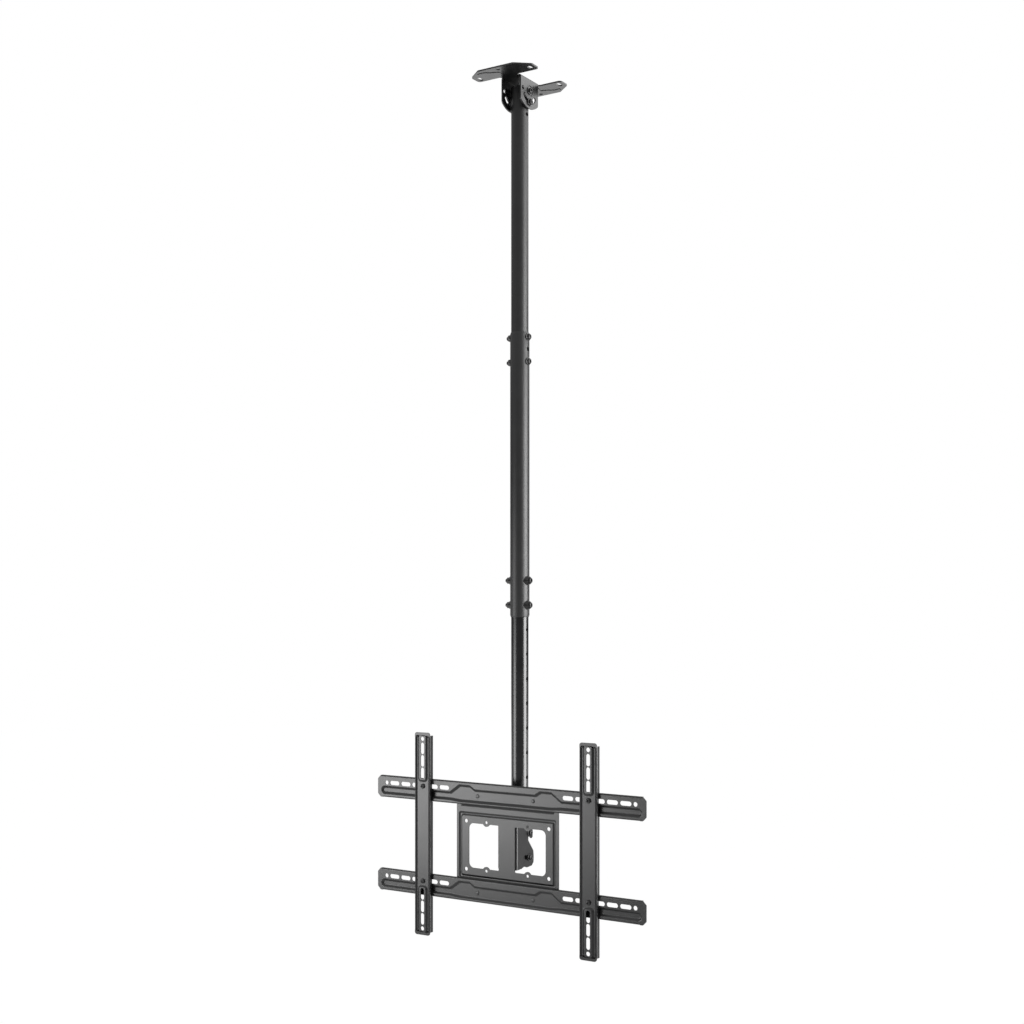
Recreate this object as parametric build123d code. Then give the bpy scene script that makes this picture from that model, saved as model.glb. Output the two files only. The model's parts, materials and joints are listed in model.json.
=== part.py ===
from build123d import *
from collections import namedtuple
import os
from math import atan2, cos, degrees, radians, sin, sqrt, tan

# TV ceiling mount, in millimetres. +Z is up, +X runs along the cross rails and the television
# faces -Y. The origin is on the pole's axis, in the ceiling plate's top face.

# Clearances
pivot_clearance = 0.05
bolt_clearance = 0.3
thread_clearance = 0.05
seat_gap = 0.02
slide_gap = 0.1
notch_gap = 0.5

# Ceiling plate
ceiling_sheet = 3.0
ceiling_half_depth = 95.0
ceiling_half_width = 73.0
front_edge_half = 42.0
shoulder_depth = 70.0
arm_inner_edge = 43.0
arm_corner_radius = 7.0
neck_corner_radius = 4.0
ceiling_slot_x = 61.0
ceiling_slot_y = 57.0
ceiling_slot_length = 18.0
ceiling_slot_width = 8.5
ceiling_hole_y = 84.0
ceiling_hole_diameter = 8.8
bead_width = 6.0
bead_height = 0.9
bead_route = [(-50.0, -80.0), (-36.0, -81.0), (-24.0, -74.0), (-7.0, -68.0), (-11.0, -52.0)]
bead_bend_radius = 4.0

# Ceiling ears
ear_gap_half = 20.8
ceiling_ear_half_depth = 33.5
ceiling_pivot_drop = 25.7
ceiling_lock_radius = 23.4
ceiling_ear_sweep = 50.0
ceiling_ear_below_pivot = 36.8
ceiling_ear_corner = 6.5
ceiling_lock_swing = 58.0
ear_spare_hole_y = -25.6
ear_spare_hole_diameter = 8.5
dish_radius = 11.5
dish_depth = 0.6
ceiling_bend_radius = 1.0

# Tubes
slim_tube_diameter = 36.0
wide_tube_diameter = 40.0
tube_wall = 1.8
tube_above_pivot = 10.0
upper_tube_length = 589.3
middle_tube_length = 589.9
lower_tube_length = 603.0
upper_overlap = 82.0
lower_overlap = 90.9
swage_length = 4.5
swage_depth = 1.2
hole_pitch = 50.8
adjusting_hole_count = 9
upper_joint_inset = 10.1
lower_joint_inset = 15.2
spare_hole_drop = 73.0
tube_hole_diameter = 8.3
tube_below_pivot = 66.5

# Tilt bracket, its outline counted from the pivot
tilt_sheet = 2.5
tilt_lock_radius = 50.4
tilt_lock_swing = 18.5
tilt_lock_start = -1.5
tilt_bend_radius = 1.0
tilt_bracket_top = 31.5
tilt_bracket_below = 70.4
shoulder_front = -2.9
shoulder_rear = 5.1
shoulder_drop = 3.0
finger_root_drop = 14.0
finger_rear = 13.1
finger_tip = 12.0
throat_front = -5.6
throat_drop = 13.0
throat_lead = 3.0
heel_rear = 17.1
heel_top_rear = 15.5
heel_top_drop = 38.2
heel_drop = 51.6
heel_foot_rear = 16.3
heel_foot_drop = 62.6
foot_rear = 9.6
foot_drop = 68.8
foot_notch = [(-9.0, 0.5), (-20.3, 3.9), (-30.0, 0.9)]

# VESA plate
plate_sheet = 2.0
plate_front = -51.0
plate_centre_drop = 28.5
plate_half_width = 123.4
plate_field_half = 81.0
joggle_rise = 5.0
tab_half_width = 112.0
strip_top = 93.0
tab_reach = 110.0
groove_half_width = 117.3
groove_half_height = 68.6
groove_width = 7.0
groove_depth = 1.6
groove_run = 2.2
groove_corner = 4.0
groove_inner_corner = 2.5
window_inner = 19.5
window_outer = 93.0
window_half_height = 46.3
window_corner = 11.0
window_inner_corner = 2.0
vesa_pitch = 100.0
wide_vesa_hole = 8.0
small_vesa_hole = 6.0
lug_radius = 8.6

# Rails
rail_sheet = 2.0
rail_front = -60.4
rail_half_length = 323.5
rail_top_above_holes = 15.5
rail_height = 47.0
rail_holes_above_centre = 116.5
rail_pitch = 200.0
rail_clip = 7.5
rail_bend_radius = 1.0
rail_flange_depth = 5.4
top_flange_half = 315.0
bottom_flange_half = 310.0
rail_hole_diameter = 9.0
rail_hole_x = [200.0, 300.0]
rail_slot_x = [149.5, 178.5, 220.5, 249.5, 279.0]
rail_slot_length = 25.0
recess_depth = 3.5
recess_run = 3.15
recess_half_length = 312.0
recess_top_drop = 9.5
recess_bottom_drop = 22.5
recess_middle_drop = 24.5
bump_foot = 134.0
bump_outer = 111.0
bump_inner = 85.5
bump_top_rise = 6.8
middle_half = 73.5
middle_top_drop = 1.0
rivet_x = 67.0
rivet_drop = 12.5
rivet_diameter = 6.0
rivet_head_diameter = 8.5
rivet_head_height = 0.8

# Upright brackets
arm_sheet = 2.0
arm_x = 200.0
arm_width = 40.0
arm_half_length = 213.5
arm_standoff = 8.0
arm_depth = 11.0
arm_bend_radius = 0.5
arm_cap_length = 6.5
arm_cap_half_width = 19.2
arm_cap_corner = 5.0
arm_vesa_half = 200.0
arm_hole_diameter = 9.0
arm_slot_length = 24.5
arm_slot_inset = [20.2, 46.5, 72.8]
panel_depth = 2.5
panel_run = 3.6
panel_half_width = 17.8
panel_end_margin = 6.5
panel_corner = 4.5
pad_top_half = 8.3
pad_run = 4.0
pad_inner_gap = 9.2
pad_corner = 4.5

# Fasteners
bolt_diameter = 8.0
bolt_head_diameter = 12.0
bolt_head_height = 4.4
bolt_head_bevel = 2.4
bolt_hex = 5.0
bolt_hex_depth = 2.6
nut_across_flats = 13.0
nut_height = 6.5
thread_proud = 2.5
washer_diameter = 16.0
washer_thickness = 1.6
saddle_diameter = 24.0
saddle_face_diameter = 15.5
saddle_height = 4.4
small_bolt_diameter = 6.0
small_head_diameter = 10.5
small_head_height = 3.3
small_head_bevel = 1.9
small_hex = 4.0
small_hex_depth = 2.0
small_nut_across_flats = 10.0
small_nut_height = 5.0
small_washer_diameter = 13.6
edge_break = 0.5

# Values that follow from the sizes above
ceiling_ear_face = ear_gap_half + ceiling_sheet
tilt_ear_face = ear_gap_half + tilt_sheet
slim_radius = slim_tube_diameter / 2
wide_radius = wide_tube_diameter / 2
ceiling_pivot_z = -ceiling_pivot_drop
ceiling_lock_z = ceiling_pivot_z - ceiling_lock_radius
lock_slot_width = bolt_diameter + 2 * bolt_clearance
bolt_hole = bolt_diameter + 2 * bolt_clearance
pivot_hole = bolt_diameter + 2 * pivot_clearance
upper_tube_top = ceiling_pivot_z + tube_above_pivot
middle_tube_top = upper_tube_top - upper_tube_length + upper_overlap
lower_tube_top = middle_tube_top - middle_tube_length + lower_overlap
upper_joint_top = middle_tube_top - upper_joint_inset
lower_joint_top = lower_tube_top - lower_joint_inset
upper_joint_rows = [upper_joint_top, upper_joint_top - hole_pitch]
lower_joint_rows = [lower_joint_top, lower_joint_top - hole_pitch]
tilt_pivot_z = lower_tube_top - lower_tube_length + tube_below_pivot
tilt_lock_z = tilt_pivot_z - tilt_lock_radius
plate_centre_z = tilt_pivot_z - plate_centre_drop
upper_rail_hole_z = plate_centre_z + rail_holes_above_centre
rail_hole_z = {"upper_rail": upper_rail_hole_z, "lower_rail": upper_rail_hole_z - rail_pitch}
frame_centre_z = upper_rail_hole_z - rail_pitch / 2
tab_front = rail_front + rail_sheet + recess_depth
arm_front = rail_front - arm_standoff
panel_front = arm_front + panel_depth

Bolt = namedtuple(
    "Bolt", "diameter head_diameter head_height head_bevel hex hex_depth nut_flats nut_height"
)
pole_bolt = Bolt(
    bolt_diameter,
    bolt_head_diameter,
    bolt_head_height,
    bolt_head_bevel,
    bolt_hex,
    bolt_hex_depth,
    nut_across_flats,
    nut_height,
)
bracket_bolt = Bolt(
    small_bolt_diameter,
    small_head_diameter,
    small_head_height,
    small_head_bevel,
    small_hex,
    small_hex_depth,
    small_nut_across_flats,
    small_nut_height,
)


def front_sheet(outline, front, thickness):
    """A flat sheet in the XZ plane whose viewer side lies at y = front."""
    return extrude(Plane.XZ.offset(-front) * outline, -thickness)


def side_prism(outline, half_width):
    """A YZ outline carried along X to both sides of the middle."""
    return extrude(Plane.YZ * outline, half_width, both=True)


def cross_bore(y, z, diameter, reach=60.0):
    """A round hole along X."""
    return Pos(0, y, z) * Rot(0, 90, 0) * Cylinder(diameter / 2, 2 * reach)


def folded_channel(width, length, sheet, inner_radius):
    """The section of a U-shaped fold, open toward -Y of its own sketch."""
    outer = Pos(0, -length / 2) * Rectangle(width, length)
    inner = Pos(0, -length / 2 - sheet) * Rectangle(width - 2 * sheet, length)
    outer = fillet(outer.vertices().group_by(Axis.Y)[-1], inner_radius + sheet)
    inner = fillet(inner.vertices().group_by(Axis.Y)[-1], inner_radius)
    return outer - inner


def wall_shift(sheet, depth, run):
    """How far a pressed sheet's back corner lies outside its front corner."""
    return sheet * tan(atan2(depth, run) / 2)


# Fasteners, each modelled with its seat at z = 0 and its head above
def button_screw(bolt, length):
    head = Pos(0, 0, bolt.head_height / 2) * Cylinder(bolt.head_diameter / 2, bolt.head_height)
    head = chamfer(head.edges().group_by(Axis.Z)[-1], bolt.head_bevel)
    shank = Pos(0, 0, -length / 2) * Cylinder(bolt.diameter / 2, length)
    socket = RegularPolygon(bolt.hex / 2, 6, major_radius=False)
    return head + shank - extrude(Plane.XY.offset(bolt.head_height) * socket, -bolt.hex_depth)


def hex_nut(bolt):
    outline = RegularPolygon(bolt.nut_flats / 2, 6, major_radius=False, rotation=30)
    return extrude(outline - Circle(bolt.diameter / 2 + thread_clearance), bolt.nut_height)


def washer(bolt, diameter):
    return extrude(Circle(diameter / 2) - Circle(bolt.diameter / 2 + thread_clearance), washer_thickness)


def saddle(tube_radius, face_diameter, face_x):
    """A spacer with a hollow back that sits on a tube, and a flat face at x = face_x."""
    foot = Plane.YZ.offset(tube_radius - saddle_sink(tube_radius)) * Circle(saddle_diameter / 2)
    face = Plane.YZ.offset(face_x) * Circle(face_diameter / 2)
    block = loft([foot, face])
    hollow = Cylinder(tube_radius + seat_gap, 4 * saddle_diameter)
    return block - hollow - cross_bore(0, 0, bolt_diameter + 2 * thread_clearance)


def saddle_sink(tube_radius):
    """How far a saddle's rim reaches back round its tube."""
    return tube_radius - sqrt(tube_radius**2 - (saddle_diameter / 2) ** 2)


def spacer(inner_x, outer_x):
    """A straight round spacer between a tube and an ear's inner face."""
    reach = slim_radius - sqrt(slim_radius**2 - (washer_diameter / 2) ** 2)
    disc = Plane.YZ.offset(inner_x - reach) * Circle(washer_diameter / 2)
    body = extrude(disc, outer_x - inner_x + reach)
    hollow = Cylinder(slim_radius + seat_gap, 4 * washer_diameter)
    return body - hollow - cross_bore(0, 0, pivot_hole)


def clamp_set(z_rows, head_seat, nut_seat):
    """Screws and nuts along X: heads seat at +head_seat and nuts at -nut_seat."""
    length = head_seat + nut_seat + nut_height + thread_proud
    screws = [Pos(head_seat, 0, z) * Rot(0, 90, 0) * button_screw(pole_bolt, length) for z in z_rows]
    nuts = [Pos(-nut_seat, 0, z) * Rot(0, -90, 0) * hex_nut(pole_bolt) for z in z_rows]
    return screws, nuts


def washer_pairs(z_rows, seat):
    """A washer on each side, with its inner face at seat."""
    return [
        Pos(side * seat, 0, z) * Rot(0, side * 90, 0) * washer(pole_bolt, washer_diameter)
        for z in z_rows
        for side in (1, -1)
    ]


def mirrored_pairs(piece, z_rows):
    """A piece on +X and the same turned round onto -X, at each height."""
    return [Pos(0, 0, z) * Rot(0, 0, turn) * piece for z in z_rows for turn in (0, 180)]


# Ceiling head
def ceiling_plan():
    corner = [
        (front_edge_half, ceiling_half_depth),
        (ceiling_half_width, shoulder_depth),
        (ceiling_half_width, arm_inner_edge),
    ]
    neck = ceiling_ear_face - ceiling_sheet - ceiling_bend_radius
    front = corner + [(neck, arm_inner_edge)]
    half = front + [(x, -y) for x, y in reversed(front)]
    outline = half + [(-x, y) for x, y in reversed(half)]
    plan = make_face(Polyline(*outline, close=True))
    outer = [v for v in plan.vertices() if abs(v.X) > (neck + front_edge_half) / 2]
    plan = fillet(outer, arm_corner_radius)
    inner = [v for v in plan.vertices() if abs(abs(v.X) - neck) < seat_gap]
    plan = fillet(inner, neck_corner_radius)
    slot = SlotOverall(ceiling_slot_length, ceiling_slot_width, rotation=90)
    for x in (-ceiling_slot_x, ceiling_slot_x):
        for y in (-ceiling_slot_y, ceiling_slot_y):
            plan -= Pos(x, y) * slot
    for y in (-ceiling_hole_y, ceiling_hole_y):
        plan -= Pos(0, y) * Circle(ceiling_hole_diameter / 2)
    return plan


def ceiling_ear_outline():
    half = ceiling_ear_half_depth
    bottom_z = ceiling_pivot_z - ceiling_ear_below_pivot
    corner_z = bottom_z + ceiling_ear_sweep - sqrt(ceiling_ear_sweep**2 - half**2)
    sides = Polyline((half, corner_z), (half, 0), (-half, 0), (-half, corner_z))
    sweep = ThreePointArc((-half, corner_z), (0, bottom_z), (half, corner_z))
    outline = make_face(sides + sweep)
    return fillet(outline.vertices().group_by(Axis.Y)[0], ceiling_ear_corner)


def arc_slot(radius, first, last, width, pivot_z):
    """A slot round a pivot: its ends lie first and last degrees forward of straight down."""
    def spot(angle, r):
        return (-r * sin(radians(angle)), pivot_z - r * cos(radians(angle)))
    middle = (first + last) / 2
    outer = radius + width / 2
    inner = radius - width / 2
    turn = degrees(width / 2 / radius)
    start_cap = ThreePointArc(spot(first, inner), spot(first - turn, radius), spot(first, outer))
    outside = ThreePointArc(spot(first, outer), spot(middle, outer), spot(last, outer))
    end_cap = ThreePointArc(spot(last, outer), spot(last + turn, radius), spot(last, inner))
    inside = ThreePointArc(spot(last, inner), spot(middle, inner), spot(first, inner))
    return make_face(start_cap + outside + end_cap + inside)


def make_ceiling_plate():
    plate = extrude(Plane.XY.offset(-ceiling_sheet) * ceiling_plan(), ceiling_sheet)
    fold_width = 2 * ceiling_ear_face
    fold_drop = ceiling_pivot_drop + ceiling_ear_below_pivot + ceiling_sheet
    section = folded_channel(fold_width, fold_drop, ceiling_sheet, ceiling_bend_radius)
    channel = extrude(Plane.XZ * section, ceiling_ear_half_depth, both=True)
    plate += channel & side_prism(ceiling_ear_outline(), fold_width)
    for side in (1, -1):
        dish = Pos(side * ceiling_ear_face, 0, ceiling_pivot_z) * Rot(0, 90, 0)
        boss = Pos(side * ear_gap_half, 0, ceiling_pivot_z) * Rot(0, 90, 0)
        plate -= dish * Cylinder(dish_radius, 2 * dish_depth)
        plate += boss * Cylinder(dish_radius + dish_depth, 2 * dish_depth)
    plate -= cross_bore(0, ceiling_pivot_z, bolt_hole)
    plate -= cross_bore(ear_spare_hole_y, ceiling_pivot_z, ear_spare_hole_diameter)
    swing = ceiling_lock_swing
    slot = arc_slot(ceiling_lock_radius, -swing, swing, lock_slot_width, ceiling_pivot_z)
    plate -= side_prism(slot, fold_width)
    route = FilletPolyline(*bead_route, radius=bead_bend_radius)
    for turn in (0, 180):
        ridge = Rot(0, 0, turn) * trace(route, bead_width)
        furrow = Rot(0, 0, turn) * trace(route, bead_width - ceiling_sheet)
        plate += extrude(Plane.XY.offset(-ceiling_sheet) * ridge, -bead_height)
        plate -= extrude(furrow, -bead_height)
    return plate


# Pole
def tube(radius, top, length, chamfered):
    inner = radius - tube_wall
    bottom = top - length
    if chamfered:
        lip = radius - swage_depth
        points = [
            (inner, top),
            (lip, top),
            (radius, top - swage_length),
            (radius, bottom + swage_length),
            (lip, bottom),
            (inner, bottom),
        ]
    else:
        points = [(inner, top), (radius, top), (radius, bottom), (inner, bottom)]
    return revolve(Plane.XZ * make_face(Polyline(*points, close=True)), Axis.Z)


def make_upper_tube():
    body = tube(slim_radius, upper_tube_top, upper_tube_length, False)
    body -= cross_bore(0, ceiling_pivot_z, pivot_hole)
    rows = [ceiling_lock_z, -spare_hole_drop] + upper_joint_rows + [sum(upper_joint_rows) / 2]
    for z in rows:
        body -= cross_bore(0, z, tube_hole_diameter)
    return body


def make_middle_tube():
    body = tube(wide_radius, middle_tube_top, middle_tube_length, True)
    for z in upper_joint_rows + [sum(upper_joint_rows) / 2] + lower_joint_rows:
        body -= cross_bore(0, z, tube_hole_diameter)
    return body


def make_lower_tube():
    body = tube(slim_radius, lower_tube_top, lower_tube_length, False)
    for row in range(adjusting_hole_count):
        body -= cross_bore(0, lower_joint_top - row * hole_pitch, tube_hole_diameter)
    body -= cross_bore(0, tilt_pivot_z, tube_hole_diameter)
    body -= cross_bore(0, tilt_lock_z, tube_hole_diameter)
    return body


# TV frame
def tilt_ear_outline():
    slot_half = bolt_diameter / 2 + pivot_clearance
    finger_middle = (slot_half + finger_rear) / 2
    finger_end = (finger_rear - slot_half) / 2 - finger_tip
    foot = -tilt_bracket_below
    lines = Polyline(
        (plate_front, tilt_bracket_top),
        (shoulder_front, tilt_bracket_top),
        (shoulder_rear, tilt_bracket_top - shoulder_drop),
        (finger_rear, tilt_bracket_top - finger_root_drop),
        (finger_rear, finger_end),
    )
    lines += ThreePointArc((finger_rear, finger_end), (finger_middle, -finger_tip), (slot_half, finger_end))
    lines += Line((slot_half, finger_end), (slot_half, 0))
    lines += ThreePointArc((slot_half, 0), (0, slot_half), (-slot_half, 0))
    lines += Polyline(
        (-slot_half, 0),
        (-slot_half, throat_lead - throat_drop),
        (throat_front, -throat_drop),
        (heel_top_rear, -heel_top_drop),
    )
    lines += ThreePointArc(
        (heel_top_rear, -heel_top_drop),
        (heel_rear, -heel_drop),
        (heel_foot_rear, -heel_foot_drop),
    )
    lines += Polyline(
        (heel_foot_rear, -heel_foot_drop),
        (foot_rear, -foot_drop),
        *[(y, foot + rise) for y, rise in foot_notch],
        (plate_front, foot),
        (plate_front, tilt_bracket_top),
    )
    return Pos(0, tilt_pivot_z) * make_face(lines)


def make_tilt_bracket():
    web_back = plate_front + plate_sheet
    depth = heel_rear - web_back + 2 * tilt_sheet
    section = folded_channel(2 * tilt_ear_face, depth, tilt_sheet, tilt_bend_radius)
    height = tilt_bracket_top + tilt_bracket_below
    channel = extrude(Pos(0, web_back) * Rot(0, 0, 180) * section, height)
    channel = Pos(0, 0, tilt_pivot_z - tilt_bracket_below) * channel
    bracket = channel & side_prism(tilt_ear_outline(), 2 * tilt_ear_face)
    start = tilt_lock_start
    slot = arc_slot(tilt_lock_radius, start, tilt_lock_swing, lock_slot_width, tilt_pivot_z)
    return bracket - side_prism(slot, 2 * tilt_ear_face)


def plate_window(side):
    width = window_outer - window_inner
    window = Rectangle(width, 2 * window_half_height)
    outer = window.vertices().group_by(Axis.X)[-1 if side > 0 else 0]
    window = fillet(outer, window_corner)
    inner = window.vertices().group_by(Axis.X)[0 if side > 0 else -1]
    window = fillet(inner, window_inner_corner)
    window = Pos(side * (window_inner + window_outer) / 2, 0) * window
    for z in (-vesa_pitch / 2, vesa_pitch / 2):
        window -= Pos(side * vesa_pitch / 2, z) * Circle(lug_radius)
    return window


def joggled_tab():
    """The sheet's step forward, from the field to behind a rail, as a YZ outline."""
    foot = plate_field_half
    step = plate_front - tab_front
    lean = plate_sheet * tan(atan2(step, joggle_rise) / 2)
    back = plate_front + plate_sheet
    start = foot - plate_sheet
    points = [
        (plate_front, start),
        (plate_front, foot),
        (tab_front, foot + joggle_rise),
        (tab_front, tab_reach),
        (tab_front + plate_sheet, tab_reach),
        (tab_front + plate_sheet, foot + joggle_rise + lean),
        (back, foot + lean),
        (back, start),
    ]
    return make_face(Polyline(*points, close=True))


def groove_block(reach, corner):
    """A rounded rectangle whose sides lie outside the groove's outer edge by reach."""
    return RectangleRounded(2 * (groove_half_width + reach), 2 * (groove_half_height + reach), corner)


def groove_solid(front, grow):
    """The groove as a ring from y = front: its sloping walls lead to a narrower floor."""
    floor = front + groove_depth
    rim = groove_block(grow, groove_corner + grow)
    rim_floor = groove_block(grow - groove_run, groove_corner + grow - groove_run)
    inside = -groove_width - grow
    island = groove_block(inside, groove_inner_corner - grow)
    island_floor = groove_block(inside + groove_run, groove_inner_corner - grow + groove_run)
    outer = loft([Plane.XZ.offset(-front) * rim, Plane.XZ.offset(-floor) * rim_floor])
    return outer - loft([Plane.XZ.offset(-front) * island, Plane.XZ.offset(-floor) * island_floor])


def make_vesa_plate():
    field = Rectangle(2 * plate_half_width, 2 * strip_top)
    notch_height = strip_top - plate_field_half
    for up in (1, -1):
        notch = Rectangle(2 * tab_half_width, 2 * notch_height)
        field -= Pos(0, up * strip_top) * notch
    for side in (1, -1):
        field -= plate_window(side)
        for z in (-vesa_pitch / 2, vesa_pitch / 2):
            field -= Pos(side * vesa_pitch, z) * Circle(wide_vesa_hole / 2)
            field -= Pos(side * vesa_pitch / 2, z) * Circle(small_vesa_hole / 2)
    plate = front_sheet(field, plate_front, plate_sheet)
    tab = side_prism(joggled_tab(), tab_half_width - seat_gap)
    plate += [tab, Rot(0, 180, 0) * tab]
    plate += groove_solid(plate_front + plate_sheet, wall_shift(plate_sheet, groove_depth, groove_run))
    plate -= groove_solid(plate_front, 0)
    plate = Pos(0, 0, plate_centre_z) * plate
    for z in rivet_rows():
        for x in (-rivet_x, rivet_x):
            plate -= Pos(x, tab_front, z) * Rot(90, 0, 0) * Cylinder(rivet_diameter / 2, 4 * plate_sheet)
    return plate


def rivet_rows():
    return [z - rivet_drop for z in rail_hole_z.values()]


def recess_outline(grow):
    """The long recess, widened by grow, in a rail's own sketch with z = 0 at its hole row."""
    top = -recess_top_drop + grow
    bottom = -recess_bottom_drop - grow
    middle_bottom = -recess_middle_drop - grow
    end = recess_half_length + grow
    radius = (top - bottom) / 2
    bump_top = bump_top_rise + grow
    middle_top = -middle_top_drop + grow
    shift = grow * 0.45
    right = Polyline(
        (0, middle_top),
        (middle_half - shift, middle_top),
        (bump_inner - shift, bump_top),
        (bump_outer + shift, bump_top),
        (bump_foot + shift, top),
        (end - radius, top),
    )
    cap = ThreePointArc((end - radius, top), (end, (top + bottom) / 2), (end - radius, bottom))
    under = Polyline(
        (end - radius, bottom),
        (bump_foot + shift, bottom),
        (bump_outer + shift, middle_bottom),
        (0, middle_bottom),
        (0, middle_top),
    )
    half = make_face(right + cap + under)
    return half + mirror(half, Plane.YZ)


def make_rail(name):
    top = rail_top_above_holes
    bottom = top - rail_height
    face = Pos(0, (top + bottom) / 2) * Rectangle(2 * rail_half_length, rail_height)
    face = chamfer(face.vertices(), rail_clip)
    outer_bend = rail_sheet + rail_bend_radius
    strips = [(top_flange_half, top), (bottom_flange_half, bottom)]
    for half, z in strips:
        face -= Pos(0, z) * Rectangle(2 * half, 2 * outer_bend)
    rail = front_sheet(face, rail_front, rail_sheet)
    for half, z in strips:
        up = 1 if z > 0 else -1
        corner_y = rail_front + outer_bend
        corner_z = z - up * outer_bend
        ring = Pos(corner_y, corner_z) * (Circle(outer_bend) - Circle(rail_bend_radius))
        quarter = Rectangle(outer_bend, outer_bend)
        bend = ring & Pos(corner_y - outer_bend / 2, corner_z + up * outer_bend / 2) * quarter
        lip_depth = rail_flange_depth - outer_bend
        lip = Pos(corner_y + lip_depth / 2, z - up * rail_sheet / 2) * Rectangle(lip_depth, rail_sheet)
        rail += side_prism(bend + lip, half)
    slope = recess_run / 2
    shift = wall_shift(rail_sheet, recess_depth, recess_run)
    back = rail_front + rail_sheet
    outside = pressing(slope + shift, -slope + shift, back - edge_break, recess_depth + edge_break)
    inside = pressing(slope, -slope, rail_front, recess_depth)
    rail += outside
    rail -= inside
    for side in (1, -1):
        for x in rail_hole_x:
            rail -= through_y(side * x, 0, Circle(rail_hole_diameter / 2))
        for x in rail_slot_x:
            rail -= through_y(side * x, 0, SlotOverall(rail_slot_length, rail_hole_diameter))
        rail -= through_y(side * rivet_x, -rivet_drop, Circle(rivet_diameter / 2))
    return Pos(0, 0, rail_hole_z[name]) * rail


def pressing(grow_open, grow_floor, front, depth):
    """A rail's recess as a solid: wide at y = front and narrower at its floor."""
    wide = Plane.XZ.offset(-front) * recess_outline(grow_open)
    narrow = Plane.XZ.offset(-front - depth) * recess_outline(grow_floor)
    return loft([wide, narrow])


def through_y(x, z, outline):
    """A hole of the given outline through the rails' sheets, along Y."""
    return extrude(Plane.XZ.offset(-rail_front) * (Pos(x, z) * outline), 2 * rail_flange_depth, both=True)


def make_bracket(side):
    half = arm_half_length
    section = folded_channel(arm_width, arm_depth, arm_sheet, arm_bend_radius)
    section = Pos(0, arm_front) * Rot(0, 0, 180) * section
    length = 2 * (half - arm_cap_length)
    arm = Pos(0, 0, -length / 2) * extrude(section, length)
    arm += [end_cap(1), end_cap(-1)]
    arm += pressed_panel(arm_front + arm_sheet, wall_shift(arm_sheet, panel_depth, panel_run))
    arm -= pressed_panel(arm_front, 0)
    for up in (1, -1):
        arm -= arm_hole(up * arm_vesa_half, Circle(arm_hole_diameter / 2))
        for inset in arm_slot_inset:
            z = up * (arm_vesa_half - inset)
            arm -= arm_hole(z, SlotOverall(arm_slot_length, arm_hole_diameter, rotation=90))
        arm -= arm_hole(up * rail_pitch / 2, Circle(small_bolt_diameter / 2 + bolt_clearance))
    notch = Box(2 * arm_width, 2 * arm_depth, rail_height + 2 * notch_gap)
    for z in rail_hole_z.values():
        top = z + rail_top_above_holes - frame_centre_z
        arm -= Pos(0, rail_front + arm_depth, top - rail_height / 2) * notch
    return Pos(side * arm_x, 0, frame_centre_z) * arm


def end_cap(up):
    """The flat end of a bracket, past the ends of its flanges."""
    length = arm_cap_length + arm_sheet
    cap = Rectangle(2 * arm_cap_half_width, length)
    cap = fillet(cap.vertices().group_by(Axis.Y)[-1 if up > 0 else 0], arm_cap_corner)
    return front_sheet(Pos(0, up * (arm_half_length - length / 2)) * cap, arm_front, arm_sheet)


def pressed_panel(front, grow):
    """A bracket's pressed panel as a solid from y = front, with the slotted pads left standing."""
    floor = front + panel_depth
    half_width = panel_half_width + grow
    half_length = arm_half_length - panel_end_margin + grow
    corner = panel_corner + grow
    rim = RectangleRounded(2 * half_width, 2 * half_length, corner)
    run = panel_run
    rim_floor = RectangleRounded(2 * (half_width - run), 2 * (half_length - run), corner - run)
    panel = loft([Plane.XZ.offset(-front) * rim, Plane.XZ.offset(-floor) * rim_floor])
    top = Plane.XZ.offset(-front) * pad_outline(-grow)
    foot = Plane.XZ.offset(-floor) * pad_outline(pad_run - grow)
    pad = loft([top, foot])
    return panel - pad - mirror(pad, Plane.XY)


def pad_outline(reach):
    """An upper pad, wider by reach than its top; its outer end runs on into the bracket's end."""
    inner_z = rail_pitch / 2 + pad_inner_gap + pad_run - reach
    outer_z = arm_half_length + reach
    pad = RectangleRounded(2 * (pad_top_half + reach), outer_z - inner_z, pad_corner + reach)
    return Pos(0, (inner_z + outer_z) / 2) * pad


def arm_hole(z, outline):
    return extrude(Plane.XZ.offset(-arm_front) * (Pos(0, z) * outline), arm_depth, both=True)


def frame_rivets():
    """Flush rivets through the rails' recess floors and the plate's tabs."""
    grip = rail_sheet + plate_sheet
    shank = Cylinder(rivet_diameter / 2 - seat_gap, grip)
    head = Cylinder(rivet_head_diameter / 2, rivet_head_height)
    head = chamfer(head.edges().group_by(Axis.Z)[-1], edge_break)
    tail = Rot(180, 0, 0) * head
    rivet = shank + Pos(0, 0, (grip + rivet_head_height) / 2) * head
    rivet += Pos(0, 0, -(grip + rivet_head_height) / 2) * tail
    middle_y = tab_front
    return [
        Pos(x, middle_y, z) * Rot(90, 0, 0) * rivet for z in rivet_rows() for x in (-rivet_x, rivet_x)
    ]


def bracket_fasteners():
    back = rail_front + rail_sheet
    grip = back - panel_front
    length = grip + washer_thickness + small_nut_height + thread_proud
    spots = [(side * arm_x, z) for side in (1, -1) for z in rail_hole_z.values()]
    nut_y = back + washer_thickness
    screw = Rot(90, 0, 0) * button_screw(bracket_bolt, length)
    loose = Rot(-90, 0, 0) * washer(bracket_bolt, small_washer_diameter)
    nut = Rot(-90, 0, 0) * hex_nut(bracket_bolt)
    screws = [Pos(x, panel_front, z) * screw for x, z in spots]
    washers = [Pos(x, back, z) * loose for x, z in spots]
    nuts = [Pos(x, nut_y, z) * nut for x, z in spots]
    return screws, washers, nuts


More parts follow.
